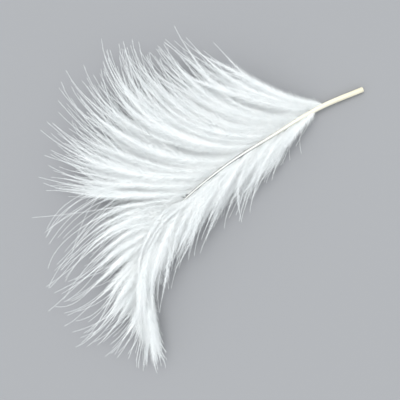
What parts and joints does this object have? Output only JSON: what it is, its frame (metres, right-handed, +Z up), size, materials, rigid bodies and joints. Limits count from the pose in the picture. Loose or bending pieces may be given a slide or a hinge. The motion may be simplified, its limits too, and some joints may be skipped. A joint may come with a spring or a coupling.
{
  "type": "turkey marabou feather",
  "caption": "White downy turkey feather with a bare cut quill, a thin curved shaft, a broad loose vane on one side and a narrow swept one on the other, lying flat.",
  "frame": {"origin": "centre of the feather's box, on the surface that it lies on", "axes": "+X along the feather from the cut end of the quill to the tip, +Z up from the surface, the wide vane on -Y"},
  "size_m": [0.124, 0.0798, 0.015],
  "materials": {
    "down": "matt white down",
    "quill": "cream keratin with a soft sheen"
  },
  "bodies": {
    "root": {"feather": "down"}
  },
  "joints": []
}
